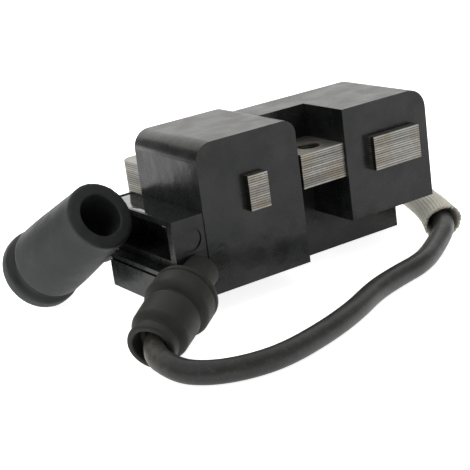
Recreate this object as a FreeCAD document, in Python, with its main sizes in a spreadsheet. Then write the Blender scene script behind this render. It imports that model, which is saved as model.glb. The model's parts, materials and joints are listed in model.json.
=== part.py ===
import FreeCAD, Part
import Sketcher
import math
import os
import re

# Flywheel ignition coil: a laminated E-core, two potted coil blocks in one moulded case,
# a high-tension tower with its rubber boot, and a lead that ends in an elbow plug boot.
# Millimetres. +X along the core, +Y from the pole faces to the yoke, +Z up. Every place is
# measured from the left block's lower front corner on the table, then moved by centre_x and
# centre_y, so that the origin is under the middle of the coil itself.

SIZES = {
    # name: (millimetres, degrees or a count; meaning)
    "centre_x": (26.43, "middle of the coil along X"),
    "centre_y": (15.93, "middle of the coil along Y"),
    "wall": (1.6, "case wall"),
    "tunnel_wall": (0.8, "wall of the tunnels that the core legs pass through"),
    "left_wide": (32.0, "left block, width"),
    "case_deep": (32.0, "case, front to rear"),
    "left_low": (6.0, "left block, underside"),
    "left_top": (47.0, "left block, top"),
    "left_edge": (5.0, "left block, rounding of the outer upper edge"),
    "block_roof": (2.6, "left block, thickness of the top"),
    "inner_edge": (4.0, "left block, rounding of the inner upper edge"),
    "bar_start": (6.0, "rear bar, left end"),
    "bar_end": (79.2, "rear bar and right block, right end"),
    "bar_front": (19.0, "rear bar, front wall"),
    "bar_top": (45.2, "rear bar and right block, top"),
    "right_start": (49.2, "right block, left wall"),
    "right_front": (1.3, "right block, front"),
    "right_low": (12.9, "right block, underside"),
    "right_edge": (5.8, "right block, rounding of the outer upper edge"),
    "wing_left": (-9.7, "wing, left side"),
    "wing_front": (0.3, "wing, front"),
    "wing_rear": (37.5, "wing, rear"),
    "wing_top": (29.0, "wing, top"),
    "wing_wall": (2.7, "wing, front wall"),
    "roof": (1.6, "wing, roof over the hollow"),
    "rim": (0.8, "wing, rim round the resin"),
    "cup_deep": (0.7, "wing, depth of the resin cup"),
    "hollow_low": (18.0, "wing, floor of the hollow"),
    "hollow_in": (-2.0, "wing, inner wall of the hollow"),
    "hollow_rear": (31.0, "wing, rear wall of the hollow"),
    "filler": (3.2, "filler hole and its plug, radius"),
    "filler_x": (-4.5, "filler hole, along X"),
    "filler_z": (23.0, "filler hole, height"),
    "filler_deep": (1.6, "filler hole, depth"),
    "filler_in": (0.4, "filler plug, distance behind the wing's front"),
    "tab_left": (-8.6, "stop terminal, free end"),
    "tab_front": (3.0, "stop terminal, front"),
    "tab_wide": (4.4, "stop terminal, width"),
    "tab_low": (26.5, "stop terminal, underside"),
    "cover_left": (-12.9, "side cover, left side"),
    "cover_top": (15.6, "side cover, top"),
    "sheet_count": (15, "core sheets"),
    "gauge": (0.65, "core sheet, thickness"),
    "core_low": (26.0, "core, underside"),
    "left_leg": (13.7, "left leg, left side"),
    "left_leg_wide": (6.4, "left leg, width"),
    "left_leg_front": (-2.15, "left leg, pole face"),
    "mid_leg": (34.3, "middle leg, left side"),
    "mid_leg_wide": (14.8, "middle leg, width"),
    "mid_leg_front": (2.15, "middle leg, pole face"),
    "right_leg": (57.2, "right leg, left side"),
    "right_leg_wide": (16.7, "right leg, width"),
    "right_leg_front": (-1.4, "right leg, pole face"),
    "yoke_start": (3.5, "yoke, left end"),
    "yoke_end": (78.4, "yoke, right end"),
    "yoke_front": (37.0, "yoke, front"),
    "yoke_deep": (12.5, "yoke, depth"),
    "yoke_round": (4.0, "yoke, corner rounding"),
    "bolt_hole": (3.25, "mounting hole, radius"),
    "bolt_x": (41.8, "front mounting hole, along X"),
    "bolt_y": (8.6, "front mounting hole, along Y"),
    "ear_x": (11.0, "rear mounting hole, along X"),
    "ear_y": (43.2, "rear mounting hole, along Y"),
    "rivet": (1.5, "rivet, shank radius"),
    "rivet_head": (2.6, "rivet, head radius"),
    "rivet_head_high": (0.8, "rivet, head height"),
    "bobbin_wall": (0.8, "bobbin, tube wall"),
    "bobbin_front": (3.0, "bobbins, front end"),
    "bobbin_rear": (29.5, "bobbins, rear end"),
    "flange": (1.2, "bobbin, flange thickness"),
    "primary": (1.6, "primary winding, thickness"),
    "secondary": (3.4, "secondary winding, thickness"),
    "charge": (1.5, "charge winding, thickness"),
    "trigger_start": (24.0, "trigger winding, front end"),
    "board_low": (3.4, "circuit board, underside"),
    "board_thick": (1.6, "circuit board, thickness"),
    "tower_root_x": (-3.0, "tower axis at the case front, along X"),
    "tower_root_z": (14.0, "tower axis at the case front, height"),
    "tower_heading": (213.4, "tower axis, heading from +X in degrees"),
    "tower_dip": (13.2, "tower axis, degrees below level"),
    "tower_radius": (4.9, "tower, radius"),
    "tower_long": (25.2, "tower, length outside the case"),
    "pin_in": (7.0, "high-tension pin, length inside the case"),
    "lead_corner": (35.0, "first corner of the lead along the tower axis"),
    "pin_radius": (1.0, "high-tension pin and conductor, radius"),
    "boot_start": (10.4, "tower boot, open end along the axis"),
    "boot_lip": (8.9, "tower boot, lip radius"),
    "boot_groove": (8.4, "tower boot, groove radius"),
    "boot_collar": (8.9, "tower boot, collar radius"),
    "boot_neck": (7.6, "tower boot, neck radius"),
    "boot_notch": (5.9, "tower boot, radius of the groove behind the mouth"),
    "boot_mouth": (6.4, "tower boot, mouth radius"),
    "boot_end": (33.8, "tower boot, mouth along the axis"),
    "boot_flare": (4.8, "tower boot, mouth bore radius"),
    "flare_deep": (4.4, "tower boot, mouth bore depth"),
    "lead_radius": (3.0, "high-tension lead, radius"),
    "sleeve_radius": (5.0, "fibreglass sleeve, outer radius"),
    "sleeve_bore": (4.2, "fibreglass sleeve, inner radius"),
    "plug_x": (-26.4, "plug boot, middle of the closed end, along X"),
    "plug_y": (52.8, "plug boot, middle of the closed end, along Y"),
    "plug_z": (9.3, "plug boot, middle of the closed end, height"),
    "plug_heading": (281.6, "plug boot, heading of the open arm in degrees"),
    "plug_rise": (31.8, "plug boot, degrees above level"),
    "plug_long": (40.2, "plug boot, length of the open arm"),
    "plug_flange": (11.5, "plug boot, radius of the closed end"),
    "plug_body": (10.9, "plug boot, radius next to the closed end"),
    "plug_mouth": (9.5, "plug boot, radius at the mouth"),
    "plug_bore": (5.8, "plug boot, bore radius"),
    "plug_bore_deep": (21.0, "plug boot, bore depth"),
    "terminal_radius": (5.0, "plug terminal, outer radius"),
    "terminal_wall": (0.7, "plug terminal, wall"),
    "terminal_long": (9.0, "plug terminal, length"),
    "arm_start": (8.0, "plug boot, place of the lead arm along the open arm"),
    "arm_heading": (32.25, "lead arm, heading in degrees"),
    "arm_dip": (6.9, "lead arm, degrees below level"),
    "arm_long": (30.0, "lead arm, length"),
    "arm_radius": (6.3, "lead arm, radius"),
}

# Corner points of the lead's route between the two boots, in order, before the move by the centre.
LEAD_ROUTE = [
    (-29.8, -28.5, 3.1),
    (-25.5, -35.6, 3.0),
    (-17.5, -40.0, 3.0),
    (-7.0, -41.3, 3.0),
    (8.0, -37.6, 3.0),
    (21.0, -32.5, 3.0),
    (33.0, -25.8, 3.0),
    (44.0, -22.2, 3.0),
    (55.5, -19.6, 3.0),
    (66.0, -13.2, 3.4),
    (76.5, -6.2, 5.0),
    (81.5, 1.5, 5.2),
    (86.3, 11.4, 5.1),
    (91.8, 22.6, 5.2),
    (96.3, 35.0, 5.1),
    (96.8, 49.0, 5.2),
    (90.5, 61.5, 5.1),
    (76.0, 70.5, 5.3),
    (57.0, 76.5, 5.0),
    (36.0, 76.5, 4.0),
]
SLEEVE_FROM = 12      # the sleeve starts after the arc at this corner of the whole route
SLEEVE_TO = 19        # and ends after the arc at this one

doc = FreeCAD.newDocument("ignition_coil")
sheet = doc.addObject("Spreadsheet::Sheet", "Sizes")
for row, (alias, (number, meaning)) in enumerate(SIZES.items(), start=1):
    sheet.set(f"A{row}", meaning)
    sheet.set(f"B{row}", str(number))
    sheet.setAlias(f"B{row}", alias)
doc.recompute()

nodes = {}


def size(alias):
    """The number that the sheet holds under this name."""
    return float(sheet.get(alias))


def bound(words):
    """An expression in plain size names, with each name pointed at the sheet."""
    return re.sub(r"[a-z]\w*", lambda word: "Sizes." + word.group(), str(words))


def bind(thing, prop, words):
    thing.setExpression(prop, bound(words))


def put(thing, x, y, z):
    """Place an object from the case corner, less the middle of the coil."""
    bind(thing, "Placement.Base.x", f"{x} - centre_x")
    bind(thing, "Placement.Base.y", f"{y} - centre_y")
    bind(thing, "Placement.Base.z", z)
    return thing


def keep(node, thing):
    """Name a finished sub-part, which names its file too."""
    thing.Label = node
    nodes[node] = thing
    return thing


def box(name, x, y, z):
    """A box between two names, or expressions, along each axis."""
    solid = doc.addObject("Part::Box", name)
    bind(solid, "Length", f"({x[1]}) - ({x[0]})")
    bind(solid, "Width", f"({y[1]}) - ({y[0]})")
    bind(solid, "Height", f"({z[1]}) - ({z[0]})")
    return put(solid, f"({x[0]})", f"({y[0]})", f"({z[0]})")


def rod(name, radius, length, x, y, z, axis=None):
    """A cylinder from a point along an axis, upright where none is given."""
    solid = doc.addObject("Part::Cylinder", name)
    bind(solid, "Radius", radius)
    bind(solid, "Height", length)
    if axis:
        solid.Placement.Rotation = FreeCAD.Rotation(FreeCAD.Vector(0, 0, 1), axis)
    return put(solid, f"({x})", f"({y})", f"({z})")


def fuse(name, *shapes):
    result = doc.addObject("Part::MultiFuse", name)
    result.Shapes = list(shapes)
    result.Refine = True
    return result


def cut(name, base, *tools):
    result = doc.addObject("Part::Cut", name)
    result.Base = base
    result.Tool = tools[0] if len(tools) == 1 else fuse(name + "_tools", *tools)
    result.Refine = True
    return result


def group(name, pieces):
    """Several separate solids under one node."""
    result = doc.addObject("Part::Compound", name)
    result.Links = pieces
    return result


def outline(body, role, corners, circles=()):
    """A sketch on a plane of the body: straight runs between corners, plus whole circles.

    Each corner is two expressions; each circle is two expressions and a radius."""
    plane = next(item for item in body.Origin.OriginFeatures if item.Role == role)
    sketch = body.newObject("Sketcher::SketchObject", body.Name + "_outline")
    sketch.AttachmentSupport = [(plane, "")]
    sketch.MapMode = "FlatFace"
    spots = [FreeCAD.Vector(number_of(x), number_of(y), 0) for x, y in corners]
    for index, spot in enumerate(spots):
        following = spots[(index + 1) % len(spots)]
        sketch.addGeometry(Part.LineSegment(spot, following), False)
    for index in range(len(corners)):
        following = (index + 1) % len(corners)
        sketch.addConstraint(Sketcher.Constraint("Coincident", index, 2, following, 1))
    for index, (x, y) in enumerate(corners):
        pin_point(sketch, index, 1, x, y)
    for x, y, radius in circles:
        middle = FreeCAD.Vector(number_of(x), number_of(y), 0)
        ring = Part.Circle(middle, FreeCAD.Vector(0, 0, 1), number_of(radius))
        index = sketch.addGeometry(ring, False)
        pin_point(sketch, index, 3, x, y)
        added = sketch.addConstraint(Sketcher.Constraint("Radius", index, number_of(radius)))
        sketch.setExpression(f"Constraints[{added}]", bound(radius))
    return sketch


def number_of(words):
    """The value of an expression in plain size names."""
    return float(sheet.evalExpression(bound(words)))


def pin_point(sketch, index, point, x, y):
    """Hold one point of a sketch at two expressions, or on an axis where one is zero."""
    for kind, axis, words in (("DistanceX", -2, x), ("DistanceY", -1, y)):
        if words == "0":
            sketch.addConstraint(Sketcher.Constraint("PointOnObject", index, point, axis))
            continue
        rule = Sketcher.Constraint(kind, -1, 1, index, point, number_of(words))
        added = sketch.addConstraint(rule)
        sketch.setExpression(f"Constraints[{added}]", bound(words))


def pad(name, corners, height, circles=()):
    """A body padded upwards from an outline on its XY plane."""
    body = doc.addObject("PartDesign::Body", name)
    sketch = outline(body, "XY_Plane", corners, circles)
    feature = body.newObject("PartDesign::Pad", name + "_pad")
    feature.Profile = sketch
    bind(feature, "Length", height)
    sketch.Visibility = False
    doc.recompute()
    return body


def rounded(body, radius, wanted):
    """Round the edges of the body's tip whose middle point is wanted."""
    base = body.Tip
    picked = []
    for number, edge in enumerate(base.Shape.Edges, start=1):
        if wanted(edge):
            picked.append(f"Edge{number}")
    feature = body.newObject("PartDesign::Fillet", body.Name + "_" + radius)
    feature.Base = (base, picked)
    bind(feature, "Radius", radius)
    doc.recompute()
    return body


def turned(name, corners):
    """A body turned round its own Z axis from half an outline: (radius, height) corners."""
    body = doc.addObject("PartDesign::Body", name)
    sketch = outline(body, "XZ_Plane", corners)
    feature = body.newObject("PartDesign::Revolution", name + "_turn")
    feature.Profile = sketch
    feature.ReferenceAxis = (sketch, ["V_Axis"])
    feature.Angle = 360
    doc.recompute()
    return body


def heading(degrees_round, degrees_up):
    """A unit vector from a heading from +X and a rise above level."""
    around = math.radians(degrees_round)
    up = math.radians(degrees_up)
    level = math.cos(up)
    return FreeCAD.Vector(level * math.cos(around), level * math.sin(around), math.sin(up))


def aim(thing, start, axis):
    """Stand an object's own Z axis on a start point, along an axis."""
    turn = FreeCAD.Rotation(FreeCAD.Vector(0, 0, 1), axis)
    thing.Placement = FreeCAD.Placement(start, turn)
    return thing


def axial_rod(name, radius, length, start, axis):
    """A cylinder with bound sizes that starts at a worked-out point."""
    solid = doc.addObject("Part::Cylinder", name)
    bind(solid, "Radius", radius)
    bind(solid, "Height", length)
    return aim(solid, start, axis)


def solid_block(name, x, y, z):
    """A body for a moulded block, placed like box(), ready for rounded edges."""
    wide = f"({x[1]}) - ({x[0]})"
    deep = f"({y[1]}) - ({y[0]})"
    corners = [("0", "0"), (wide, "0"), (wide, deep), ("0", deep)]
    body = pad(name, corners, f"({z[1]}) - ({z[0]})")
    return put(body, f"({x[0]})", f"({y[0]})", f"({z[0]})")


def upper_edge(side):
    """Picks a block's upper edge along Y, on its low (0) or high (1) X side."""
    def wanted(edge):
        lowest, highest = edge.Vertexes[0].Point, edge.Vertexes[-1].Point
        along_y = abs(lowest.y - highest.y) > 1 and abs(lowest.z - highest.z) < 0.01
        return along_y and lowest.z > 1 and (lowest.x > 1) == bool(side)
    return wanted


ACROSS = FreeCAD.Vector(0, 1, 0)
origin = FreeCAD.Vector(-size("centre_x"), -size("centre_y"), 0)
CORE_TOP = "core_low + sheet_count * gauge"
LEGS = {
    "left": ("left_leg", "left_leg + left_leg_wide", "left_leg_front"),
    "mid": ("mid_leg", "mid_leg + mid_leg_wide", "mid_leg_front"),
    "right": ("right_leg", "right_leg + right_leg_wide", "right_leg_front"),
}

# ---- core: E-shaped sheets and the rivets through the yoke ----

RIVET_X = (27.0, 58.0)
sheet_corners = [("yoke_start", "yoke_front + yoke_deep"), ("yoke_start", "yoke_front")]
for leg_start, leg_end, pole_face in LEGS.values():
    sheet_corners += [(leg_start, "yoke_front"), (leg_start, pole_face)]
    sheet_corners += [(leg_end, pole_face), (leg_end, "yoke_front")]
sheet_corners += [("yoke_end", "yoke_front"), ("yoke_end", "yoke_front + yoke_deep")]
sheet_holes = [("bolt_x", "bolt_y", "bolt_hole"), ("ear_x", "ear_y", "bolt_hole")]
sheet_holes += [(str(x), "ear_y", "rivet") for x in RIVET_X]
core_sheet = pad("core_sheet", sheet_corners, "gauge", sheet_holes)


def yoke_corner(edge):
    first, last = edge.Vertexes[0].Point, edge.Vertexes[-1].Point
    upright = abs(first.z - last.z) > 0.1 and len(edge.Vertexes) == 2
    at_end = min(abs(first.x - size("yoke_start")), abs(first.x - size("yoke_end"))) < 0.01
    return upright and at_end and first.y > size("yoke_front") + 1


rounded(core_sheet, "yoke_round", yoke_corner)
stack = []
for level in range(int(size("sheet_count"))):
    height = size("core_low") + level * size("gauge")
    stack.append(core_sheet.Shape.translated(origin + FreeCAD.Vector(0, 0, height)))
core = keep("core_laminations", doc.addObject("Part::Feature", "core_laminations"))
core.Shape = Part.makeCompound(stack)

rivets = []
for number, rivet_x in enumerate(RIVET_X):
    shank = rod(f"rivet_shank_{number}", "rivet", "sheet_count * gauge", rivet_x, "ear_y", "core_low")
    upper = rod(f"rivet_upper_{number}", "rivet_head", "rivet_head_high", rivet_x, "ear_y", CORE_TOP)
    lower = rod(f"rivet_lower_{number}", "rivet_head", "rivet_head_high", rivet_x, "ear_y",
                "core_low - rivet_head_high")
    rivets.append(fuse(f"rivet_{number}", shank, upper, lower))
keep("core_rivets", group("core_rivets", rivets))

# ---- case: two blocks, the rear bar and the wing, hollow and open at the rear ----

left_block = solid_block("left_block", ("0", "left_wide"), ("0", "case_deep"), ("left_low", "left_top"))
rounded(left_block, "left_edge", upper_edge(0))
rounded(left_block, "inner_edge", upper_edge(1))
right_block = solid_block("right_block", ("right_start", "bar_end"), ("right_front", "case_deep"),
                          ("right_low", "bar_top"))
rounded(right_block, "right_edge", upper_edge(1))
bar = box("bar", ("bar_start", "bar_end - right_edge"), ("bar_front", "case_deep"), ("0", "bar_top"))
bar_foot = box("bar_foot", ("bar_start", "bar_end"), ("bar_front", "case_deep"), ("0", "right_low + 1"))
wing = box("wing", ("wing_left", "0"), ("wing_front", "wing_rear"), ("cover_top", "wing_top"))
case_outside = fuse("case_outside", left_block, right_block, bar, bar_foot, wing)

cavities = [
    box("left_cavity", ("wall", "left_wide - wall"), ("wall", "case_deep"),
        ("left_low + wall", "left_top - block_roof")),
    box("bar_cavity", ("bar_start + wall", "bar_end - wall"), ("bar_front + wall", "case_deep"),
        ("wall", "bar_top - right_edge")),
    box("right_cavity", ("right_start + wall", "bar_end - wall"), ("right_front + wall", "case_deep"),
        ("right_low + wall", "bar_top - right_edge")),
]
tunnels = []
legs = []
for leg_name, (leg_start, leg_end, pole_face) in LEGS.items():
    tunnel_front = "bar_front" if leg_name == "mid" else "right_front"
    tunnels.append(box(leg_name + "_tunnel", (f"{leg_start} - tunnel_wall", f"{leg_end} + tunnel_wall"),
                       (tunnel_front, "case_deep"), ("core_low - tunnel_wall", f"{CORE_TOP} + tunnel_wall")))
    legs.append(box(leg_name + "_leg_space", (leg_start, leg_end), (pole_face, "yoke_front"),
                    ("core_low", CORE_TOP)))
hollow = box("hollow", ("wing_left - 1", "hollow_in"), ("wing_front + wing_wall", "hollow_rear"),
             ("hollow_low", "wing_top - roof"))
resin_cup = box("resin_cup", ("wing_left + rim", "0 - rim"), ("wing_front + rim", "wing_rear - rim"),
                ("wing_top - cup_deep", "wing_top"))
plug_hole = rod("plug_hole", "filler", "filler_deep + 0.2", "filler_x", "wing_front - 0.2", "filler_z", ACROSS)
tower_axis = heading(size("tower_heading"), -size("tower_dip"))
tower_root = origin + FreeCAD.Vector(size("tower_root_x"), 0, size("tower_root_z"))
pin = axial_rod("pin", "pin_radius", "pin_in + tower_long", tower_root - tower_axis * size("pin_in"),
                tower_axis)

shell = cut("shell", case_outside, *cavities)
shell_with_tunnels = fuse("shell_with_tunnels", shell, *tunnels)
coil_case = cut("coil_case", shell_with_tunnels, *legs, hollow, resin_cup, plug_hole, pin)
keep("coil_case", coil_case)

cup_resin = box("cup_resin", ("wing_left + rim", "0 - rim"), ("wing_front + rim", "wing_rear - rim"),
                ("wing_top - cup_deep", "wing_top - 0.25"))
keep("terminal_potting", cup_resin)
filler_plug = rod("filler_plug", "filler", "filler_deep - filler_in", "filler_x", "wing_front + filler_in", "filler_z", ACROSS)
keep("filler_plug", filler_plug)
keep("stop_terminal", box("stop_terminal", ("tab_left", "hollow_in"), ("tab_front", "tab_front + tab_wide"),
                          ("tab_low", "wing_top - roof")))

cover_outside = box("cover_outside", ("cover_left", 0), (0, "case_deep"), ("left_low", "cover_top"))
cover_inside = box("cover_inside", ("cover_left + wall", 0), ("wall", "case_deep - wall"),
                   ("left_low + wall", "cover_top - wall"))
cover_seam = box("cover_seam", ("cover_left - 1", "cover_left + 0.6"), (-1, "case_deep + 1"),
                 ("cover_top - 1.9", "cover_top - 1.2"))
keep("side_cover", cut("side_cover", cover_outside, cover_inside, cover_seam, pin))

# ---- coils: bobbins and windings round the outer legs ----


def ring_box(name, leg, inner, outer, y):
    """A square tube round a leg between two distances from the leg's faces."""
    leg_start, leg_end, _ = LEGS[leg]
    outside = box(name + "_outside", (f"{leg_start} - ({outer})", f"{leg_end} + {outer}"), y,
                  (f"core_low - ({outer})", f"{CORE_TOP} + {outer}"))
    inside = box(name + "_inside", (f"{leg_start} - ({inner})", f"{leg_end} + {inner}"), y,
                 (f"core_low - ({inner})", f"{CORE_TOP} + {inner}"))
    return cut(name, outside, inside)


def bobbin(name, leg, inner, winding):
    """A tube with a flange at each end, as high as the winding on it."""
    outer = f"{inner} + bobbin_wall"
    tube = ring_box(name + "_tube", leg, inner, outer, ("bobbin_front", "bobbin_rear"))
    front = ring_box(name + "_front", leg, inner, f"{outer} + {winding}",
                     ("bobbin_front", "bobbin_front + flange"))
    rear = ring_box(name + "_rear", leg, inner, f"{outer} + {winding}",
                    ("bobbin_rear - flange", "bobbin_rear"))
    return keep(name, fuse(name, tube, front, rear))


WOUND = ("bobbin_front + flange", "bobbin_rear - flange")
primary_bobbin = bobbin("primary_bobbin", "left", "tunnel_wall", "primary")
primary_out = "tunnel_wall + bobbin_wall + primary"
primary_winding = keep("primary_winding", ring_box(
    "primary_winding", "left", "tunnel_wall + bobbin_wall", primary_out, WOUND))
secondary_bobbin = bobbin("secondary_bobbin", "left", primary_out, "secondary")
secondary_winding = keep("secondary_winding", ring_box(
    "secondary_winding", "left", f"{primary_out} + bobbin_wall", f"{primary_out} + bobbin_wall + secondary",
    WOUND))
charge_bobbin = bobbin("charge_bobbin", "right", "tunnel_wall", "charge")
charge_inner = "tunnel_wall + bobbin_wall"
charge_winding = keep("charge_winding", ring_box(
    "charge_winding", "right", charge_inner, f"{charge_inner} + charge", (WOUND[0], "trigger_start - 0.4")))
trigger_winding = keep("trigger_winding", ring_box(
    "trigger_winding", "right", charge_inner, f"{charge_inner} + charge", ("trigger_start", WOUND[1])))

# ---- electronics on the board in the foot of the rear bar ----

BOARD_TOP = "board_low + board_thick"
circuit_board = keep("circuit_board", box(
    "circuit_board", ("bar_start + 3", "bar_end - 4"), ("bar_front + 2.2", "case_deep - 1.8"),
    ("board_low", BOARD_TOP)))
CAPACITOR = {"x": (34.0, 47.0), "y": (22.0, 29.0), "high": 11}
THYRISTOR = {"x": (52.0, 59.5), "y": (23.0, 26.2), "high": 7}
DIODE = {"x": (62.5, 66.5, 70.5), "y": 23.2, "radius": 1.3, "long": 4.6}
RESISTOR = {"x": (12.5, 16.5, 20.5, 24.5), "y": 22.4, "radius": 1.1, "long": 6.2}
WIRE = {"x_top": ((10.5, 18.0), (28.5, 18.0), (60.5, 19.0), (73.5, 19.0)), "y": 25.0, "radius": 0.4}
STRAP_X = (40.4, 43.2)


def on_board(name, body):
    """A box that stands on the board."""
    return keep(name, box(name, body["x"], body["y"], (BOARD_TOP, f"{BOARD_TOP} + {body['high']}")))


def lying(name, body):
    """A row of small round bodies that lie on the board."""
    bodies = []
    for number, x in enumerate(body["x"]):
        height = f"{BOARD_TOP} + {body['radius']}"
        bodies.append(rod(f"{name}_{number}", body["radius"], body["long"], x, body["y"], height, ACROSS))
    keep(name, group(name, bodies))
    return bodies


capacitor = on_board("discharge_capacitor", CAPACITOR)
thyristor = on_board("thyristor", THYRISTOR)
diode_set = lying("diodes", DIODE)
resistor_set = lying("resistors", RESISTOR)
wire_set = []
for number, (wire_x, wire_top) in enumerate(WIRE["x_top"]):
    wire_set.append(rod(f"wire_{number}", WIRE["radius"], f"{wire_top} - ({BOARD_TOP})", wire_x, WIRE["y"],
                        BOARD_TOP))
keep("hookup_wires", group("hookup_wires", wire_set))
ground_strap = keep("ground_strap", box("ground_strap", STRAP_X, ("case_deep - 2.3", "case_deep - 1.9"),
                                        (BOARD_TOP, "core_low - tunnel_wall")))

# ---- high-tension tower, its pin and its boot ----

tower_stem = axial_rod("tower_stem", "tower_radius", "tower_long", tower_root, tower_axis)
keep("ht_tower", cut("ht_tower", tower_stem, case_outside, cover_outside, pin))
keep("ht_terminal_pin", pin)

tower_boot = turned("tower_boot", [
    ("tower_radius", "boot_start"),
    ("boot_lip", "boot_start"),
    ("boot_lip", "boot_start + 1.4"),
    ("boot_groove", "boot_start + 1.4"),
    ("boot_groove", "boot_start + 2.2"),
    ("boot_collar", "boot_start + 2.2"),
    ("boot_collar", "boot_start + 6.5"),
    ("boot_neck", "boot_start + 9"),
    ("boot_neck", "boot_end - 5.2"),
    ("boot_notch", "boot_end - 4.2"),
    ("boot_notch", "boot_end - 3.2"),
    ("boot_mouth", "boot_end - 2.6"),
    ("boot_mouth", "boot_end"),
    ("boot_flare", "boot_end"),
    ("boot_flare", "boot_end - flare_deep"),
    ("lead_radius", "boot_end - flare_deep"),
    ("lead_radius", "tower_long"),
    ("tower_radius", "tower_long"),
])
keep("tower_boot", aim(tower_boot, tower_root, tower_axis))

# ---- plug boot: open arm, closed end, lead arm, terminal ----

plug_axis = heading(size("plug_heading"), size("plug_rise"))
arm_axis = heading(size("arm_heading"), -size("arm_dip"))
plug_end = origin + FreeCAD.Vector(size("plug_x"), size("plug_y"), size("plug_z"))
elbow = plug_end + plug_axis * size("arm_start")
plug_outside = turned("plug_outside", [
    ("0", "0"),
    ("plug_flange - 1", "0"),
    ("plug_flange", "1.2"),
    ("plug_flange", "4.8"),
    ("plug_flange - 1.6", "6.2"),
    ("plug_flange - 1.6", "7.4"),
    ("plug_body", "8.6"),
    ("plug_body - 0.2", "17"),
    ("plug_mouth", "plug_long - 3"),
    ("plug_mouth", "plug_long"),
    ("0", "plug_long"),
])
aim(plug_outside, plug_end, plug_axis)
lead_arm = turned("lead_arm", [
    ("0", "0"),
    ("arm_radius + 1.2", "0"),
    ("arm_radius + 1.2", "13"),
    ("arm_radius", "17"),
    ("arm_radius", "arm_long - 4"),
    ("arm_radius + 0.6", "arm_long - 3"),
    ("arm_radius + 0.6", "arm_long"),
    ("0", "arm_long"),
])
aim(lead_arm, elbow, arm_axis)


LEAD_IN = 14.5       # the lead stops this far along the lead arm
socket_end = plug_end + plug_axis * (size("plug_long") - size("plug_bore_deep"))
terminal_end = socket_end - plug_axis * size("terminal_long")
plug_bore = axial_rod("plug_bore", "plug_bore", "plug_bore_deep + 1", socket_end, plug_axis)
terminal_seat = axial_rod("terminal_seat", "terminal_radius", "terminal_long + 1", terminal_end, plug_axis)
arm_bore = axial_rod("arm_bore", "lead_radius", "arm_long", elbow + arm_axis * LEAD_IN, arm_axis)
spike_hole = axial_rod("spike_hole", "pin_radius", LEAD_IN, elbow, arm_axis)
STUD_LONG = "plug_long - plug_bore_deep - terminal_long - arm_start"
stud_hole = axial_rod("stud_hole", "pin_radius", STUD_LONG + " + 1", elbow, plug_axis)
plug_boot_outside = fuse("plug_boot_outside", plug_outside, lead_arm)
keep("plug_boot", cut("plug_boot", plug_boot_outside, plug_bore, terminal_seat, arm_bore, spike_hole, stud_hole))

terminal_outside = axial_rod("terminal_outside", "terminal_radius", "terminal_long", terminal_end, plug_axis)
terminal_inside = axial_rod("terminal_inside", "terminal_radius - terminal_wall", "terminal_long",
                            terminal_end + plug_axis * size("terminal_wall"), plug_axis)
keep("plug_terminal", cut("plug_terminal", terminal_outside, terminal_inside))
spike = axial_rod("spike", "pin_radius", LEAD_IN, elbow, arm_axis)
stud = axial_rod("stud", "pin_radius", STUD_LONG, elbow, plug_axis)
keep("lead_spike", fuse("lead_spike", spike, stud))

# ---- lead: straight runs joined by tangent arcs ----

ARC_SHARE = 0.45     # of the shorter run, used up by each arc
LEAD_OUT = 12.0      # the last corner is this far outside the lead arm


def rounded_route(corners):
    """Edges along a route: each corner becomes an arc as large as its two runs allow."""
    edges = []
    radii = []
    reached = corners[0]
    for before, corner, after in zip(corners, corners[1:], corners[2:]):
        come = (corner - before).normalize()
        leave = (after - corner).normalize()
        half_turn = come.getAngle(leave) / 2
        reach = ARC_SHARE * min(corner.distanceToPoint(before), corner.distanceToPoint(after))
        radius = reach / math.tan(half_turn)
        arc_start = corner - come * reach
        arc_end = corner + leave * reach
        inward = (leave - come).normalize()
        middle = corner + inward * (radius / math.cos(half_turn) - radius)
        edges.append(Part.LineSegment(reached, arc_start).toShape())
        edges.append(Part.Arc(arc_start, middle, arc_end).toShape())
        radii.append(round(radius, 1))
        reached = arc_end
    edges.append(Part.LineSegment(reached, corners[-1]).toShape())
    return edges, radii


def tube(edges, radius):
    """A round bar of this radius along the edges."""
    path = Part.Wire(edges)
    start = path.Vertexes[0].Point
    along = edges[0].tangentAt(edges[0].FirstParameter)
    section = Part.Wire(Part.makeCircle(radius, start, along))
    bar_shape = path.makePipeShell([section], True, False)
    print(f"tube r {radius}: volume {bar_shape.Volume:.0f}, "
          f"section x length {math.pi * radius ** 2 * path.Length:.0f}, length {path.Length:.0f}")
    return bar_shape


route = [tower_root + tower_axis * size(along) for along in ("tower_long", "lead_corner")]
route += [origin + FreeCAD.Vector(*corner) for corner in LEAD_ROUTE]
route += [elbow + arm_axis * (size("arm_long") + LEAD_OUT), elbow + arm_axis * LEAD_IN]
route_edges, route_radii = rounded_route(route)
print("arc radii", route_radii)
lead_bar = tube(route_edges, size("lead_radius"))
conductor_bar = tube(route_edges, size("pin_radius"))
sleeve_edges = route_edges[2 * SLEEVE_FROM:2 * SLEEVE_TO]
sleeve_shape = tube(sleeve_edges, size("sleeve_radius")).cut(tube(sleeve_edges, size("sleeve_bore")))

lead = keep("ht_lead", doc.addObject("Part::Feature", "ht_lead"))
lead.Shape = lead_bar.cut(conductor_bar)
conductor = keep("ht_lead_conductor", doc.addObject("Part::Feature", "ht_lead_conductor"))
conductor.Shape = conductor_bar
sleeve = keep("fibreglass_sleeve", doc.addObject("Part::Feature", "fibreglass_sleeve"))
sleeve.Shape = sleeve_shape

# ---- resin that fills the case round everything in it ----

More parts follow.
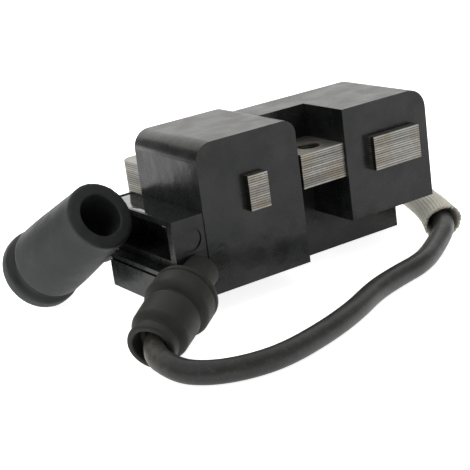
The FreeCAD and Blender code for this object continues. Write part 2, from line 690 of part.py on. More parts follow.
resin_block = fuse(
    "resin_block",
    box("left_resin", ("wall", "left_wide - wall"), ("wall", "case_deep - 0.6"),
        ("left_low + wall", "left_top - block_roof")),
    box("bar_resin", ("bar_start + wall", "bar_end - wall"), ("bar_front + wall", "case_deep - 0.6"),
        ("wall", "bar_top - right_edge")),
    box("right_resin", ("right_start + wall", "bar_end - wall"), ("right_front + wall", "case_deep - 0.6"),
        ("right_low + wall", "bar_top - right_edge")),
)
potted = [shell_with_tunnels, *legs, primary_bobbin, primary_winding, secondary_bobbin, secondary_winding]
potted += [charge_bobbin, charge_winding, trigger_winding, circuit_board, capacitor, thyristor]
potted += [*diode_set, *resistor_set, *wire_set, ground_strap, pin]
keep("potting_resin", cut("potting_resin", resin_block, *potted))

# ---- check every object, then write one file for each sub-part ----

doc.recompute()
for thing in doc.Objects:
    faults = [flag for flag in thing.State if flag in ("Invalid", "Error")]
    if faults:
        raise SystemExit(f"{thing.Name}: {faults}")
os.makedirs("parts", exist_ok=True)
for node, thing in nodes.items():
    shape = thing.Shape
    if shape.isNull() or not shape.isValid() or not shape.Solids:
        raise SystemExit(f"{node}: no valid solid")
    shape.exportStep(f"parts/{node}.step")
    print(f"{node}: {len(shape.Solids)} solids, {shape.Volume:.1f} mm3")
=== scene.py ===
import bpy
import bmesh
import json
import math
import random
from mathutils import Matrix, Quaternion, Vector, noise


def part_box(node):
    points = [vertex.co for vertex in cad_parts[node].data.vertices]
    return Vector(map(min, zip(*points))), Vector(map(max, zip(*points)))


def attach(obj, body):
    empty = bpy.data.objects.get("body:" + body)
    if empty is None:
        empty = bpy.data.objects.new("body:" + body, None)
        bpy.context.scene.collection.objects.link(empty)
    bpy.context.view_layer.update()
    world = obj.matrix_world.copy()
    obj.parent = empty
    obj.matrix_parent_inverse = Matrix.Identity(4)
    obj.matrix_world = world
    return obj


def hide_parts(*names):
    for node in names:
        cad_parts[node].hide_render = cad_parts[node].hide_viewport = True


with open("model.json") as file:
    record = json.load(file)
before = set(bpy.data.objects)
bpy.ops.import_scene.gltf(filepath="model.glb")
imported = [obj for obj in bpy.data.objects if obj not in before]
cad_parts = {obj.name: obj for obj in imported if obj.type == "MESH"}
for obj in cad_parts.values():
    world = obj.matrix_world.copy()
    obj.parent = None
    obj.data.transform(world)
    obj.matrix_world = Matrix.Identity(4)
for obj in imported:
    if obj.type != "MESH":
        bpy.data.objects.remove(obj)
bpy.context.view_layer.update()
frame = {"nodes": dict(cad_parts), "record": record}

# Ignition coil. Lengths in this script are millimetres from the case corner, the lower front
# corner of the left block's left side; at() turns them into metres in the frame.

MM = 0.001
cover_low, cover_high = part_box("side_cover")
CASE_CORNER = Vector((cover_high[0], cover_low[1], 0.0))
CORE_LOW = 26.0           # underside of the core
GAUGE = 0.65              # one core sheet
DUST_AND_SHEEN_FROM = 40.0          # dust and a painted sheen lie on the level faces above this height
RNG = random.Random(7)


def at(x, y, z):
    return CASE_CORNER + Vector((x, y, z)) * MM


def heading(degrees_round, degrees_up):
    around, up = math.radians(degrees_round), math.radians(degrees_up)
    return Vector((math.cos(up) * math.cos(around), math.cos(up) * math.sin(around), math.sin(up)))


TOWER_AXIS = heading(213.4, -13.2)
TOWER_ROOT = at(-3.0, 0.0, 14.0)
TOWER_RADIUS = 4.9
TOWER_TIP = 25.2          # the tower ends and the lead starts here along the tower axis
BOOT_START = 10.4         # tower boot's flange along the tower axis
BOOT_END = 33.8           # and its mouth
LEAD_RADIUS = 3.0
LEAD_HOLE = 3.1           # radius of the holes that the lead goes into
PLUG_AXIS = heading(281.6, 31.8)
PLUG_END = at(-26.4, 52.8, 9.3)
PLUG_LONG = 40.2          # plug boot's open arm, from its closed end to its mouth
ARM_AXIS = heading(32.25, -6.9)
ELBOW = PLUG_END + PLUG_AXIS * 8.0 * MM

# ---------------------------------------------------------------- camera

CAMERA_EYE = at(-161.95, -278.19, 122.56)
CAMERA_ROUND = 31.54      # degrees from +Y towards +X that the camera looks
CAMERA_DOWN = 17.36
CAMERA_ROLL = -7.82
CAMERA_LENS = 98.95       # focal length, with a sensor this wide:
SENSOR_WIDE = 36.0


def make_camera():
    data = bpy.data.cameras.new("camera")
    data.lens = CAMERA_LENS
    data.sensor_width = SENSOR_WIDE
    camera = bpy.data.objects.new("camera", data)
    bpy.context.scene.collection.objects.link(camera)
    forward = heading(90.0 - CAMERA_ROUND, -CAMERA_DOWN)
    right = forward.cross(Vector((0, 0, 1))).normalized()
    roll = Quaternion(forward, -math.radians(CAMERA_ROLL))
    right = roll @ right
    up = right.cross(forward)
    turn = Matrix((right, up, -forward)).transposed()
    camera.matrix_world = Matrix.Translation(CAMERA_EYE) @ turn.to_4x4()
    bpy.context.scene.camera = camera


make_camera()

# ---------------------------------------------------------------- the lead's route, as in part.py

LEAD_ROUTE = [
    (-29.8, -28.5, 3.1),
    (-25.5, -35.6, 3.0),
    (-17.5, -40.0, 3.0),
    (-7.0, -41.3, 3.0),
    (8.0, -37.6, 3.0),
    (21.0, -32.5, 3.0),
    (33.0, -25.8, 3.0),
    (44.0, -22.2, 3.0),
    (55.5, -19.6, 3.0),
    (66.0, -13.2, 3.4),
    (76.5, -6.2, 5.0),
    (81.5, 1.5, 5.2),
    (86.3, 11.4, 5.1),
    (91.8, 22.6, 5.2),
    (96.3, 35.0, 5.1),
    (96.8, 49.0, 5.2),
    (90.5, 61.5, 5.1),
    (76.0, 70.5, 5.3),
    (57.0, 76.5, 5.0),
    (36.0, 76.5, 4.0),
]
LEAD_CORNER = 35.0        # first bend, along the tower axis
ARM_CORNER = 42.0         # last bend, along the lead arm's axis
ARM_IN = 14.5             # the lead ends here along the lead arm's axis

route = [TOWER_ROOT + TOWER_AXIS * TOWER_TIP * MM, TOWER_ROOT + TOWER_AXIS * LEAD_CORNER * MM]
route += [at(*corner) for corner in LEAD_ROUTE]
route += [ELBOW + ARM_AXIS * ARM_CORNER * MM, ELBOW + ARM_AXIS * ARM_IN * MM]


def link(piece):
    bpy.context.scene.collection.objects.link(piece)
    return piece


def route_curve(name, radius):
    """One smooth curve with the route's points as its control points."""
    data = bpy.data.curves.new(name, "CURVE")
    data.dimensions = "3D"
    spline = data.splines.new("NURBS")
    spline.points.add(len(route) - 1)
    for point, place in zip(spline.points, route):
        point.co = (*place, 1.0)
    spline.order_u = 3
    spline.use_endpoint_u = True
    data.resolution_u = 16
    data.bevel_depth = radius * MM
    data.bevel_resolution = 8
    data.use_fill_caps = True
    return bpy.data.objects.new(name, data)


def line_and_tube(name, radius):
    """The points that the route's curve passes through, and a mesh tube along it."""
    curve = route_curve(name + "_curve", radius)
    tube = bpy.data.objects.new(name, bpy.data.meshes.new_from_object(curve))
    tube.data.shade_smooth()
    curve.data.bevel_depth = 0.0
    bare = bpy.data.meshes.new_from_object(curve)
    points = [vertex.co.copy() for vertex in bare.vertices]
    bpy.data.meshes.remove(bare)
    bpy.data.objects.remove(curve)
    return points, link(tube)


lead_line, lead = line_and_tube("lead_insulation", LEAD_RADIUS)

# ---------------------------------------------------------------- material helpers


class Shader:
    """A Principled material, with short calls to add nodes to it.

    Its first colour and roughness hold wherever no node feeds them later.
    """

    def __init__(self, name, colour, roughness, metallic=0.0):
        self.material = bpy.data.materials.new(name)
        self.material.use_nodes = True
        self.tree = self.material.node_tree
        self.main = self.tree.nodes["Principled BSDF"]
        self.set("Base Color", (*colour, 1.0))
        self.set("Roughness", roughness)
        self.set("Metallic", metallic)
        self.place = self.add("ShaderNodeTexCoord").outputs["Object"]

    def set(self, socket, value):
        self.main.inputs[socket].default_value = value

    def add(self, kind, **settings):
        made = self.tree.nodes.new(kind)
        for key, value in settings.items():
            setattr(made, key, value)
        return made

    def feed(self, value, socket):
        """Link a socket, or set a plain value."""
        if isinstance(value, bpy.types.NodeSocket):
            self.tree.links.new(value, socket)
        else:
            socket.default_value = value

    def stretched(self, x, y, z):
        """Coordinates scaled differently along each axis."""
        mapping = self.add("ShaderNodeMapping")
        self.feed(self.place, mapping.inputs["Vector"])
        mapping.inputs["Scale"].default_value = (x, y, z)
        return mapping.outputs["Vector"]

    def noise(self, size, detail=4.0, rough=0.55, where=None):
        """Noise whose blobs are about size millimetres across."""
        made = self.add("ShaderNodeTexNoise")
        self.feed(where or self.place, made.inputs["Vector"])
        made.inputs["Scale"].default_value = 1.0 / (size * MM)
        made.inputs["Detail"].default_value = detail
        made.inputs["Roughness"].default_value = rough
        return made.outputs["Fac"]

    def cells(self, size):
        """Distance from the middles of cells about size millimetres apart."""
        made = self.add("ShaderNodeTexVoronoi")
        self.feed(self.place, made.inputs["Vector"])
        made.inputs["Scale"].default_value = 1.0 / (size * MM)
        return made.outputs["Distance"]

    def span(self, value, low, high, to_low=0.0, to_high=1.0):
        """The value's stretch from low to high, moved to another stretch and held at its ends."""
        made = self.add("ShaderNodeMapRange")
        made.clamp = True
        self.feed(value, made.inputs["Value"])
        ends = {"From Min": low, "From Max": high, "To Min": to_low, "To Max": to_high}
        for socket, number in ends.items():
            made.inputs[socket].default_value = number
        return made.outputs["Result"]

    def maths(self, operation, first, second=0.0):
        made = self.add("ShaderNodeMath", operation=operation)
        self.feed(first, made.inputs[0])
        self.feed(second, made.inputs[1])
        return made.outputs[0]

    def mix(self, share, first, second):
        """A colour between two colours."""
        made = self.add("ShaderNodeMix", data_type="RGBA")
        self.feed(share, made.inputs["Factor"])
        for value, socket in ((first, made.inputs[6]), (second, made.inputs[7])):
            self.feed(value if isinstance(value, bpy.types.NodeSocket) else (*value, 1.0), socket)
        return made.outputs[2]

    def axis(self, name):
        """X, Y or Z of the place, in metres."""
        split = self.add("ShaderNodeSeparateXYZ")
        self.feed(self.place, split.inputs[0])
        return split.outputs[name]

    def facing(self, name):
        """How far the surface faces along X, Y or Z, from -1 to 1."""
        split = self.add("ShaderNodeSeparateXYZ")
        self.feed(self.add("ShaderNodeNewGeometry").outputs["Normal"], split.inputs[0])
        return split.outputs[name]

    def colour(self, value):
        self.feed(value, self.main.inputs["Base Color"])

    def rough(self, value):
        self.feed(value, self.main.inputs["Roughness"])

    def bump(self, *layers):
        """Bump from (height, millimetres) pairs, one on the other."""
        below = None
        for height, depth in layers:
            made = self.add("ShaderNodeBump")
            made.inputs["Distance"].default_value = depth * MM
            self.feed(height, made.inputs["Height"])
            if below is not None:
                self.feed(below, made.inputs["Normal"])
            below = made.outputs["Normal"]
        self.feed(below, self.main.inputs["Normal"])


TOP_DUST_AND_SHEEN = (0.060, 0.058, 0.048)      # dust on the level faces, lightened further as a painted sheen of the light from above
GRIT = (0.28, 0.27, 0.23)             # single specks everywhere


def moulded_plastic(name, dark, light, roughness):
    """Black thermoset moulding: glossy sides, tops lightened by dust and a painted sheen, fine grain,
    small pits.
    """
    made = Shader(name, dark, roughness)
    cloud = made.noise(9.0, 3.0)
    fine = made.noise(0.5, 6.0, 0.7)
    dust = made.span(made.noise(0.22, 5.0, 0.8), 0.60, 0.72)
    patch = made.span(made.noise(5.0, 6.0, 0.7), 0.50, 0.62)
    # the level faces high up are lightened, partly by dust and partly as a painted sheen of the light from
    # above
    high = made.span(made.axis("Z"), DUST_AND_SHEEN_FROM * MM, (DUST_AND_SHEEN_FROM + 2.0) * MM)
    top = made.maths("MULTIPLY", high, made.span(made.facing("Z"), 0.5, 0.9))
    bloom = made.span(made.noise(6.0, 4.0, 0.6), 0.30, 0.66, 0.25, 1.0)
    tone = made.mix(made.span(cloud, 0.40, 0.62), dark, light)
    dust_and_sheen_tone = made.mix(made.maths("MULTIPLY", top, bloom), tone, TOP_DUST_AND_SHEEN)
    dusty = made.maths("MULTIPLY", dust, made.maths("ADD", made.maths("MULTIPLY", patch, 0.12), 0.02))
    made.colour(made.mix(dusty, dust_and_sheen_tone, GRIT))
    smear = made.span(made.noise(6.0, 3.0, 0.5), 0.40, 0.62, -0.04, 0.06)
    grain = made.span(fine, 0.3, 0.8, roughness - 0.03, roughness + 0.06)
    made.rough(made.maths("ADD", made.maths("ADD", grain, smear), made.maths("MULTIPLY", top, 0.12)))
    pits = made.span(made.cells(1.6), 0.0, 0.14)
    made.bump((cloud, 0.25), (fine, 0.015), (pits, 0.02))
    made.set("Specular IOR Level", 0.24)
    return made.material


def rubber(name, dark, light, roughness):
    """Moulded rubber: cloudy bloom, fine grain, a little dust."""
    made = Shader(name, dark, roughness)
    bloom = made.noise(5.0, 5.0, 0.6)
    fine = made.noise(0.35, 6.0, 0.75)
    dust = made.span(made.noise(0.3, 6.0, 0.8), 0.64, 0.78)
    tone = made.mix(made.span(bloom, 0.35, 0.7), dark, light)
    made.colour(made.mix(made.maths("MULTIPLY", dust, 0.22), tone, (0.32, 0.31, 0.28)))
    made.rough(made.span(bloom, 0.3, 0.75, roughness - 0.06, roughness + 0.14))
    made.bump((bloom, 0.12), (fine, 0.035))
    made.set("Specular IOR Level", 0.25)
    made.set("Sheen Weight", 0.03)
    made.set("Sheen Roughness", 0.5)
    return made.material


def lead_rubber():
    """Extruded lead: satin, with lengthwise scuffs, grey dust, and a lighter patch at the first bend that
    is dust and a painted highlight.
    """
    made = Shader("lead_rubber", (0.045, 0.045, 0.043), 0.42)
    scuff = made.span(made.noise(1.6, 8.0, 0.75), 0.52, 0.72)
    fine = made.noise(0.25, 5.0, 0.7)
    broad = made.noise(14.0, 3.0)
    tone = made.mix(made.span(broad, 0.35, 0.68), (0.010, 0.010, 0.0095), (0.020, 0.020, 0.0185))
    # lighter grey near the first bend: partly dust, partly a painted highlight where the bend catches the
    # light
    away = made.add("ShaderNodeVectorMath", operation="DISTANCE")
    made.feed(made.place, away.inputs[0])
    away.inputs[1].default_value = TOWER_ROOT + TOWER_AXIS * LEAD_CORNER * MM
    near_boot = made.span(away.outputs["Value"], 11.0 * MM, 3.0 * MM)
    patchy = made.span(made.noise(2.2, 6.0, 0.7), 0.38, 0.6, 0.2, 0.75)
    bend_dust_and_highlight = made.maths("MULTIPLY", near_boot, patchy)
    scuffed = made.mix(made.maths("MULTIPLY", scuff, 0.12), tone, (0.20, 0.19, 0.17))
    made.colour(made.mix(bend_dust_and_highlight, scuffed, (0.085, 0.082, 0.066)))
    made.rough(made.span(scuff, 0.0, 1.0, 0.40, 0.62))
    made.bump((broad, 0.3), (scuff, 0.04), (fine, 0.02))
    made.set("Specular IOR Level", 0.3)
    return made.material


def lamination_steel():
    """Sheet steel: bright sheared edges, a dark seam between sheets, tan and grey stains, and painted
    shade on the sides of the poles.
    """
    made = Shader("lamination_steel", (0.50, 0.49, 0.46), 0.38, 1.0)
    height = made.maths("DIVIDE", made.maths("SUBTRACT", made.axis("Z"), CORE_LOW * MM), GAUGE * MM)
    from_seam = made.maths("PINGPONG", height, 0.5)
    upright = made.span(made.maths("ABSOLUTE", made.facing("Z")), 0.75, 0.5)
    # the sides of the poles, in front of the case, are darkened: painted shade
    outside = made.span(made.axis("Y"), CASE_CORNER.y + 0.2 * MM, CASE_CORNER.y - 0.2 * MM)
    painted_shade_flank = made.maths("MULTIPLY", outside, made.span(made.maths("ABSOLUTE", made.facing("X")), 0.5, 0.8))
    waver = made.span(made.noise(0.5, 4.0, 0.7, made.stretched(1.0, 1.0, 0.3)), 0.3, 0.7, -0.05, 0.07)
    seam = made.maths("MULTIPLY", upright, made.span(made.maths("SUBTRACT", from_seam, waver), 0.20, 0.08))
    sheet_tone = made.noise(0.66, 0.0, 0.5, made.stretched(0.02, 0.02, 1.0))
    shear = made.noise(0.12, 4.0, 0.7, made.stretched(1.0, 1.0, 0.18))
    stain = made.span(made.noise(5.0, 5.0, 0.65), 0.44, 0.64)
    steel = made.mix(made.span(sheet_tone, 0.3, 0.7), (0.14, 0.14, 0.13), (0.29, 0.285, 0.265))
    stained = made.mix(made.maths("MULTIPLY", stain, 0.55), steel, (0.19, 0.15, 0.10))
    lined = made.mix(made.maths("MULTIPLY", seam, 0.9), stained, (0.020, 0.018, 0.016))
    made.colour(made.mix(made.maths("MULTIPLY", painted_shade_flank, 0.85), lined, (0.020, 0.021, 0.020)))
    made.rough(made.span(shear, 0.3, 0.75, 0.34, 0.60))
    made.bump((shear, 0.02))
    return made.material


def plain_metal(name, colour, roughness):
    """Bare metal: fine scratches one way, and darker stains."""
    made = Shader(name, colour, roughness, 1.0)
    scratch = made.noise(0.4, 6.0, 0.7, made.stretched(1.0, 0.12, 1.0))
    stain = made.noise(2.0, 4.0)
    darker = tuple(0.72 * channel for channel in colour)
    made.colour(made.mix(made.span(stain, 0.35, 0.7), colour, darker))
    made.rough(made.span(scratch, 0.3, 0.7, roughness - 0.08, roughness + 0.14))
    made.bump((scratch, 0.012))
    return made.material


def wound_copper():
    """Enamelled wire: turns side by side, each with a painted highlight along its crown and painted shade
    where it meets the next.
    """
    made = Shader("copper_wire", (0.72, 0.36, 0.18), 0.32, 1.0)
    turns = made.add("ShaderNodeTexWave", wave_type="BANDS", bands_direction="Y")
    made.feed(made.place, turns.inputs["Vector"])
    turns.inputs["Scale"].default_value = 900.0
    turns.inputs["Distortion"].default_value = 0.6
    # the light and dark bands are painted highlight and shade on the round turns
    made.colour(made.mix(turns.outputs["Fac"], (0.42, 0.17, 0.08), (0.80, 0.42, 0.2)))
    made.rough(made.span(made.noise(1.0), 0.3, 0.7, 0.25, 0.45))
    made.bump((turns.outputs["Fac"], 0.08))
    return made.material


def potting_epoxy():
    """Cast resin: near mirror, with a slow wave in it and a few specks."""
    made = Shader("potting_epoxy", (0.010, 0.016, 0.014), 0.06)
    specks = made.span(made.cells(1.1), 0.0, 0.07)
    slow = made.noise(6.0, 2.0)
    made.colour(made.mix(made.span(slow, 0.3, 0.7), (0.005, 0.009, 0.008), (0.011, 0.015, 0.013)))
    made.rough(made.span(made.noise(2.0, 4.0), 0.4, 0.8, 0.03, 0.09))
    made.set("IOR", 1.9)
    made.bump((slow, 0.10), (specks, 0.02))
    return made.material


def bobbin_plastic():
    """Cream moulding with a fine grain."""
    made = Shader("bobbin_plastic", (0.70, 0.67, 0.58), 0.45)
    made.colour(made.mix(made.noise(3.0), (0.62, 0.59, 0.50), (0.76, 0.73, 0.65)))
    made.bump((made.noise(0.3), 0.02))
    return made.material


def board_laminate():
    """Paper laminate with a trace of its weave."""
    made = Shader("board_laminate", (0.40, 0.33, 0.16), 0.5)
    weave = made.add("ShaderNodeTexChecker")
    made.feed(made.place, weave.inputs["Vector"])
    weave.inputs["Scale"].default_value = 2500.0
    made.colour(made.mix(weave.outputs["Fac"], (0.34, 0.27, 0.12), (0.46, 0.38, 0.2)))
    made.bump((weave.outputs["Fac"], 0.01))
    return made.material


def component_body():
    """Dark moulded body of an electronic component."""
    made = Shader("component_body", (0.05, 0.05, 0.055), 0.5)
    made.colour(made.mix(made.noise(1.0), (0.03, 0.03, 0.034), (0.08, 0.08, 0.085)))
    made.bump((made.noise(0.2), 0.015))
    return made.material


def woven_glass():
    """Braided glass fibre: light threads, with painted shade, darker and browner, in the hollows between
    them.
    """
    made = Shader("woven_glass", (0.80, 0.78, 0.70), 0.75)
    fibre = made.noise(0.18, 5.0, 0.7)
    stain = made.span(made.noise(4.0, 4.0), 0.42, 0.72)
    # the hollows between threads are darker and browner: painted shade
    shade = made.span(made.cells(0.55), 0.05, 0.55)
    shaded_yarn = made.mix(shade, (0.62, 0.61, 0.56), (0.46, 0.43, 0.35))
    made.colour(made.mix(made.maths("MULTIPLY", stain, 0.30), shaded_yarn, (0.42, 0.38, 0.28)))
    made.bump((fibre, 0.05), (shade, 0.05))
    made.set("Sheen Weight", 0.35)
    made.set("Sheen Roughness", 0.45)
    return made.material


MATERIALS = {
    "lamination_steel": lamination_steel(),
    "rivet_steel": plain_metal("rivet_steel", (0.50, 0.50, 0.49), 0.4),
    "case_plastic": moulded_plastic("case_plastic", (0.005, 0.006, 0.0055), (0.012, 0.0135, 0.012), 0.24),
    "cover_plastic": moulded_plastic("cover_plastic", (0.005, 0.006, 0.006), (0.011, 0.012, 0.0125), 0.24),
    "potting_epoxy": potting_epoxy(),
    "tinned_tab": plain_metal("tinned_tab", (0.78, 0.78, 0.76), 0.28),
    "bobbin_plastic": bobbin_plastic(),
    "copper_wire": wound_copper(),
    "board_laminate": board_laminate(),
    "component_body": component_body(),
    "brass_pin": plain_metal("brass_pin", (0.72, 0.55, 0.28), 0.3),
    "boot_rubber": rubber("boot_rubber", (0.007, 0.0075, 0.0055), (0.016, 0.017, 0.012), 0.55),
    "plug_rubber": rubber("plug_rubber", (0.006, 0.0068, 0.0068), (0.013, 0.014, 0.014), 0.48),
    "lead_rubber": lead_rubber(),
    "woven_sleeve": woven_glass(),
}


def finish_as(piece, slot):
    """Give a piece the material that stands for a slot of the record."""
    piece.data.materials.clear()
    piece.data.materials.append(MATERIALS[slot])


ROUNDINGS = {
    "coil_case": 0.42,
    "side_cover": 0.4,
    "core_laminations": 0.11,
    "filler_plug": 0.35,
    "stop_terminal": 0.12,
    "core_rivets": 0.35,
}
SAME_CORNER = 0.001       # corners nearer than this are one
SHARP = 35                # degrees; edges that turn more than this are rounded


def dress_frame():
    """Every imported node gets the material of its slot; sharp edges get a small rounding."""
    for subpart in frame["record"]["subparts"]:
        node = frame["nodes"][subpart["node"]]
        node.data.materials.clear()
        node.data.materials.append(MATERIALS[subpart["material_slot"]])
        if subpart["node"] in ROUNDINGS:
            weld = node.modifiers.new("weld", "WELD")
            weld.merge_threshold = SAME_CORNER * MM
            bevel = node.modifiers.new("rounding", "BEVEL")
            bevel.width = ROUNDINGS[subpart["node"]] * MM
            bevel.segments = 3
            bevel.limit_method = "ANGLE"
            bevel.angle_limit = math.radians(SHARP)


dress_frame()

# ---------------------------------------------------------------- mesh helpers


SOFT_STEPS = 7            # short edges in each rounded corner of an outline
ROUND_STEPS = 96          # edges round a turned piece


def softened(corners):
    """A closed outline of (radius, along); each corner is rounded by its own third number."""
    points = []
    count = len(corners)
    for index, (radius, along, rounding) in enumerate(corners):
        here = Vector((radius, along))
        before = Vector(corners[index - 1][:2]) - here
        after = Vector(corners[(index + 1) % count][:2]) - here
        reach = min(rounding, 0.49 * before.length, 0.49 * after.length)
        if reach <= 0.0:
            points.append(here)
            continue
        start = here + before.normalized() * reach
        end = here + after.normalized() * reach
        for step in range(SOFT_STEPS + 1):
            share = step / SOFT_STEPS
            points.append(start * (1 - share) ** 2 + here * 2 * share * (1 - share) + end * share ** 2)
    return points


def turned(name, outline, start, axis, wobble=0.0):
    """A mesh turned from a closed outline about an axis; outline points on the axis are joined."""
    turn = Vector((0, 0, 1)).rotation_difference(axis)
    mesh = bmesh.new()
    rings = []
    for radius, along in outline:
        ring = []
        for step in range(ROUND_STEPS if radius > 0.0 else 1):
            angle = 2 * math.pi * step / ROUND_STEPS
            swell = 1.0 + wobble * noise.noise(Vector((math.cos(angle), math.sin(angle), along * 0.12)))
            spot = Vector((radius * swell * math.cos(angle), radius * swell * math.sin(angle), along))
            ring.append(mesh.verts.new(start + turn @ (spot * MM)))
        rings.append(ring)
    for ring, following in zip(rings, rings[1:] + rings[:1]):
        for step in range(ROUND_STEPS):
            after = (step + 1) % ROUND_STEPS
            corners = [ring[step % len(ring)], ring[after % len(ring)],
                       following[after % len(following)], following[step % len(following)]]
            distinct = list(dict.fromkeys(corners))
            if len(distinct) >= 3:
                mesh.faces.new(distinct)
    bmesh.ops.recalc_face_normals(mesh, faces=mesh.faces)
    return from_bmesh(name, mesh)


def from_bmesh(name, mesh):
    """A smooth-shaded object in the scene, from a bmesh that is used up."""
    data = bpy.data.meshes.new(name)
    mesh.to_mesh(data)
    mesh.free()
    data.shade_smooth()
    return link(bpy.data.objects.new(name, data))


def applied(piece):
    """Bake a piece's modifiers into its mesh."""
    graph = bpy.context.evaluated_depsgraph_get()
    baked = bpy.data.meshes.new_from_object(piece.evaluated_get(graph))
    piece.modifiers.clear()
    old = piece.data
    piece.data = baked
    bpy.data.meshes.remove(old)
    piece.data.shade_smooth()
    return piece


def carved(piece, tool):
    """Cut a tool out of a piece, and remove the tool."""
    cutter = piece.modifiers.new("cut", "BOOLEAN")
    cutter.operation = "DIFFERENCE"
    cutter.solver = "EXACT"
    cutter.object = tool
    applied(piece)
    bpy.data.objects.remove(tool)
    return piece


def merged(first, *others):
    """Join the meshes of several pieces into the first."""
    mesh = bmesh.new()
    for piece in (first, *others):
        mesh.from_mesh(piece.data)
    mesh.to_mesh(first.data)
    mesh.free()
    for piece in others:
        bpy.data.objects.remove(piece)
    return first


def ride(piece, slot, *replaced):
    """Put a piece on the only body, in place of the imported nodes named, with its slot's material."""
    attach(piece, "root")
    if replaced:
        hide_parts(*replaced)
    finish_as(piece, slot)
    return piece


ride(lead, "lead_rubber", "ht_lead", "ht_lead_conductor")

# ---------------------------------------------------------------- tower and its boot


def make_tower():
    """The tower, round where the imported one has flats; its root is inside the case."""
    outline = softened([
        (0.0, 0.0, 0.0),
        (TOWER_RADIUS, 0.0, 0.0),
        (TOWER_RADIUS, TOWER_TIP, 0.3),
        (0.0, TOWER_TIP, 0.0),
    ])
    return turned("lead_tower", outline, TOWER_ROOT, TOWER_AXIS)


def make_tower_boot():
    """Flange, groove, collar, notch, neck and flared mouth outside; tower, lead and flare inside."""
    outline = softened([
        (4.95, BOOT_START, 0.2),
        (8.9, BOOT_START, 0.6),
        (8.9, 11.8, 0.5),
        (8.45, 12.1, 0.3),
        (8.45, 12.5, 0.3),
        (8.9, 12.8, 0.5),
        (8.9, 17.6, 2.6),
        (6.9, 18.7, 0.6),
        (7.0, 19.4, 0.5),
        (7.75, 20.0, 0.6),
        (7.6, 28.6, 2.4),
        (5.95, 29.8, 0.5),
        (5.95, 30.5, 0.4),
        (6.4, 31.1, 0.5),
        (6.4, BOOT_END, 1.0),
        (4.8, BOOT_END, 0.6),
        (4.5, 29.8, 0.6),
        (LEAD_HOLE, 29.3, 0.4),
        (LEAD_HOLE, 25.3, 0.1),
        (4.95, 25.3, 0.1),
    ])
    return turned("lead_boot", outline, TOWER_ROOT, TOWER_AXIS, wobble=0.02)


tower_boot = ride(make_tower_boot(), "boot_rubber", "tower_boot")
ride(make_tower(), "boot_rubber", "ht_tower")

# ---------------------------------------------------------------- plug boot

BOOT_VOXEL = 0.45         # the two arms are blended into one skin of this grain
BOOT_SMOOTHING = 6        # rounds
SOCKET_RADIUS = 5.8       # bore for the spark plug
SEAT_RADIUS = 5.05        # narrower bore behind it, for the terminal
SEAT_END = 19.2           # where the one changes to the other


def blended_arms():
    """The open arm and the lead's arm as one skin, without their bores."""
    body = turned("elbow_boot", softened([
        (0.0, 0.0, 0.0),
        (10.5, 0.0, 1.2),
        (11.5, 1.2, 1.0),
        (11.5, 4.8, 0.9),
        (9.9, 6.2, 0.5),
        (9.9, 7.4, 0.5),
        (10.9, 8.6, 0.8),
        (10.7, 17.0, 6.0),
        (9.5, 37.2, 3.0),
        (9.5, PLUG_LONG, 0.5),
        (0.0, PLUG_LONG, 0.0),
    ]), PLUG_END, PLUG_AXIS)
    arm = turned("arm", softened([
        (0.0, 0.0, 0.0),
        (7.5, 0.0, 0.0),
        (7.5, 13.0, 1.5),
        (6.3, 17.0, 1.5),
        (6.3, 26.0, 0.6),
        (6.9, 27.0, 0.5),
        (6.9, 30.0, 0.8),
        (0.0, 30.0, 0.0),
    ]), ELBOW, ARM_AXIS)
    merged(body, arm)
    remesh = body.modifiers.new("remesh", "REMESH")
    remesh.mode = "VOXEL"
    remesh.voxel_size = BOOT_VOXEL * MM
    smooth = body.modifiers.new("smooth", "SMOOTH")
    smooth.factor = 0.5
    smooth.iterations = BOOT_SMOOTHING
    return applied(body)


def plug_bore():
    """What is cut out of the open arm: terminal seat, socket and the mouth's chamfer."""
    return turned("bore", softened([
        (0.0, 10.2, 0.0),
        (SEAT_RADIUS, 10.2, 0.3),
        (SEAT_RADIUS, SEAT_END, 0.2),
        (SOCKET_RADIUS, SEAT_END, 0.3),
        (SOCKET_RADIUS, 39.4, 0.4),
        (6.3, 40.6, 0.2),
        (6.3, 42.0, 0.0),
        (0.0, 42.0, 0.0),
    ]), PLUG_END, PLUG_AXIS)


def lead_bore():
    """What is cut out of the lead's arm."""
    return turned("lead_bore", softened([
        (0.0, 14.4, 0.0),
        (LEAD_HOLE, 14.4, 0.2),
        (LEAD_HOLE, 29.4, 0.6),
        (3.6, 32.0, 0.0),
        (0.0, 32.0, 0.0),
    ]), ELBOW, ARM_AXIS)


def make_plug_boot():
    """Two arms at an angle, one open for the spark plug and one for the lead."""
    body = blended_arms()
    carved(body, plug_bore())
    return carved(body, lead_bore())


plug_boot = ride(make_plug_boot(), "plug_rubber", "plug_boot")

# ---------------------------------------------------------------- glass-fibre sleeve

SLEEVE_START = at(78.8, -2.7, 5.1)
SLEEVE_LONG = 92.0
SLEEVE_STEP = 0.5         # from one ring of points to the next
SLEEVE_OUTSIDE = 4.55     # radius between the ribs
SLEEVE_INSIDE = 4.1
SLEEVE_RIBS = 30
RIB_STEPS = 6             # points round each rib
RIB_HIGH = 0.22
PICK_HIGH = 0.07          # cross threads
SAG_HIGH = 0.22           # slow waves that make it look slack
SLEEVE_FLARE = 0.22       # how much wider the open end is, sideways
FLARE_RINGS = 40          # rings from the open end that widen
RIM_RINGS = 8             # rings from the open end that are askew and ragged
RIM_SLANT = 2.2
RIM_RAGGED = 0.5
RIM_JITTER = [RNG.uniform(-1, 1) for _ in range(SLEEVE_RIBS * RIB_STEPS)]


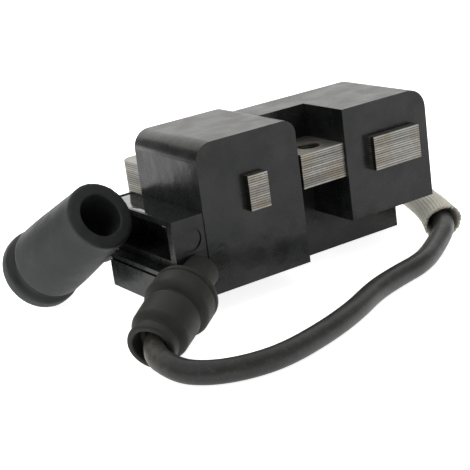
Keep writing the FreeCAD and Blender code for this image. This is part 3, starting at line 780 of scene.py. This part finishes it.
def sleeve_stations():
    """The stretch of the lead's line that the sleeve covers."""
    first = min(range(len(lead_line)), key=lambda index: (lead_line[index] - SLEEVE_START).length)
    stations = [lead_line[first]]
    gone = 0.0
    for point in lead_line[first + 1:]:
        gone += (point - stations[-1]).length
        stations.append(point)
        if gone > SLEEVE_LONG * MM:
            break
    return stations


def evenly_spaced(points, spacing):
    """The same line with its points at equal distances."""
    result = [points[0]]
    left = spacing
    for start, end in zip(points, points[1:]):
        span = (end - start).length
        while left <= span:
            result.append(start.lerp(end, left / span))
            left += spacing
        left -= span
    return result


def bridge(mesh, ring, following):
    """Faces between two rings of equally many points."""
    for step, corner in enumerate(ring):
        after = (step + 1) % len(ring)
        mesh.faces.new((corner, ring[after], following[after], following[step]))


def make_sleeve():
    """A ribbed woven tube with a wall; its open end is cut a little askew."""
    line = evenly_spaced(sleeve_stations(), SLEEVE_STEP * MM)
    around = SLEEVE_RIBS * RIB_STEPS
    mesh = bmesh.new()
    walls = {"outer": [], "inner": []}
    side = Vector((0, 0, 1))
    for index, point in enumerate(line):
        along = (line[min(index + 1, len(line) - 1)] - line[max(index - 1, 0)]).normalized()
        across = along.cross(side).normalized()
        up = across.cross(along).normalized()
        for wall in walls:
            ring = []
            for step in range(around):
                angle = 2 * math.pi * step / around
                out = across * math.cos(angle) + up * math.sin(angle)
                rib = RIB_HIGH * abs(math.sin(angle * SLEEVE_RIBS / 2 + index * 0.01))
                pick = PICK_HIGH * math.sin(index * math.pi * 0.55 + (step // RIB_STEPS % 2) * math.pi)
                sag = SAG_HIGH * noise.noise(Vector((out.x * 1.2, out.y * 1.2, index * 0.045)))
                bare = SLEEVE_OUTSIDE + rib + pick + sag if wall == "outer" else SLEEVE_INSIDE + sag
                flared = max(0.0, 1 - index / FLARE_RINGS)
                radius = bare * (1.0 + SLEEVE_FLARE * math.cos(angle) ** 2 * flared)
                uneven = RIM_SLANT * math.cos(angle) + RIM_RAGGED * RIM_JITTER[step]
                slant = along * uneven * max(0.0, 1 - index / RIM_RINGS)
                ring.append(mesh.verts.new(point + (out * radius + slant) * MM))
            walls[wall].append(ring)
    for wall, rings in walls.items():
        for ring, following in zip(rings, rings[1:]):
            bridge(mesh, ring, following)
    bridge(mesh, walls["outer"][0], walls["inner"][0])
    bridge(mesh, walls["outer"][-1], walls["inner"][-1])
    bmesh.ops.recalc_face_normals(mesh, faces=mesh.faces)
    return from_bmesh("woven_sleeve", mesh)


sleeve = ride(make_sleeve(), "woven_sleeve", "fibreglass_sleeve")

# ---------------------------------------------------------------- floor and light

FLOOR_HALF = 3.0          # metres
FLOOR_GLOW = 0.85         # keeps the shadows pale
WORLD_STRENGTH = 0.4
LIGHTS = {                # metres from the coil's middle, (width, height) in metres, watts
    "overhead": ((0.05, 0.15, 0.8), (1.6, 1.4), 7.0),
    "backdrop": ((0.68, 1.1, 0.5), (2.4, 1.2), 10.5),
    "left_side": ((-0.7, -0.1, 0.5), (0.6, 0.6), 1.5),
    "front_fill": ((0.3, -0.8, 0.4), (0.5, 0.5), 0.6),
}


def make_floor():
    mesh = bmesh.new()
    bmesh.ops.create_grid(mesh, x_segments=1, y_segments=1, size=FLOOR_HALF)
    floor = from_bmesh("floor", mesh)
    made = Shader("pale_floor", (0.92, 0.92, 0.92), 0.6)
    made.colour(made.mix(made.noise(40.0), (0.90, 0.90, 0.90), (0.94, 0.94, 0.94)))
    made.set("Emission Color", (1.0, 1.0, 1.0, 1.0))
    made.set("Emission Strength", FLOOR_GLOW)
    floor.data.materials.append(made.material)


def area_light(name, place, target, size, watts):
    """A rectangular light that faces its target."""
    data = bpy.data.lights.new(name, "AREA")
    data.shape = "RECTANGLE"
    data.size, data.size_y = size
    data.energy = watts
    light = link(bpy.data.objects.new(name, data))
    light.location = place
    light.rotation_euler = (target - place).to_track_quat("-Z", "Y").to_euler()


def make_studio():
    world = bpy.data.worlds.new("studio")
    world.use_nodes = True
    background = world.node_tree.nodes["Background"]
    background.inputs["Color"].default_value = (1.0, 1.0, 1.0, 1.0)
    background.inputs["Strength"].default_value = WORLD_STRENGTH
    bpy.context.scene.world = world
    middle = at(35, 15, 20)
    for name, (offset, size, watts) in LIGHTS.items():
        area_light(name, middle + Vector(offset), middle, size, watts)
    bpy.context.scene.view_settings.view_transform = "Standard"


make_floor()
make_studio()
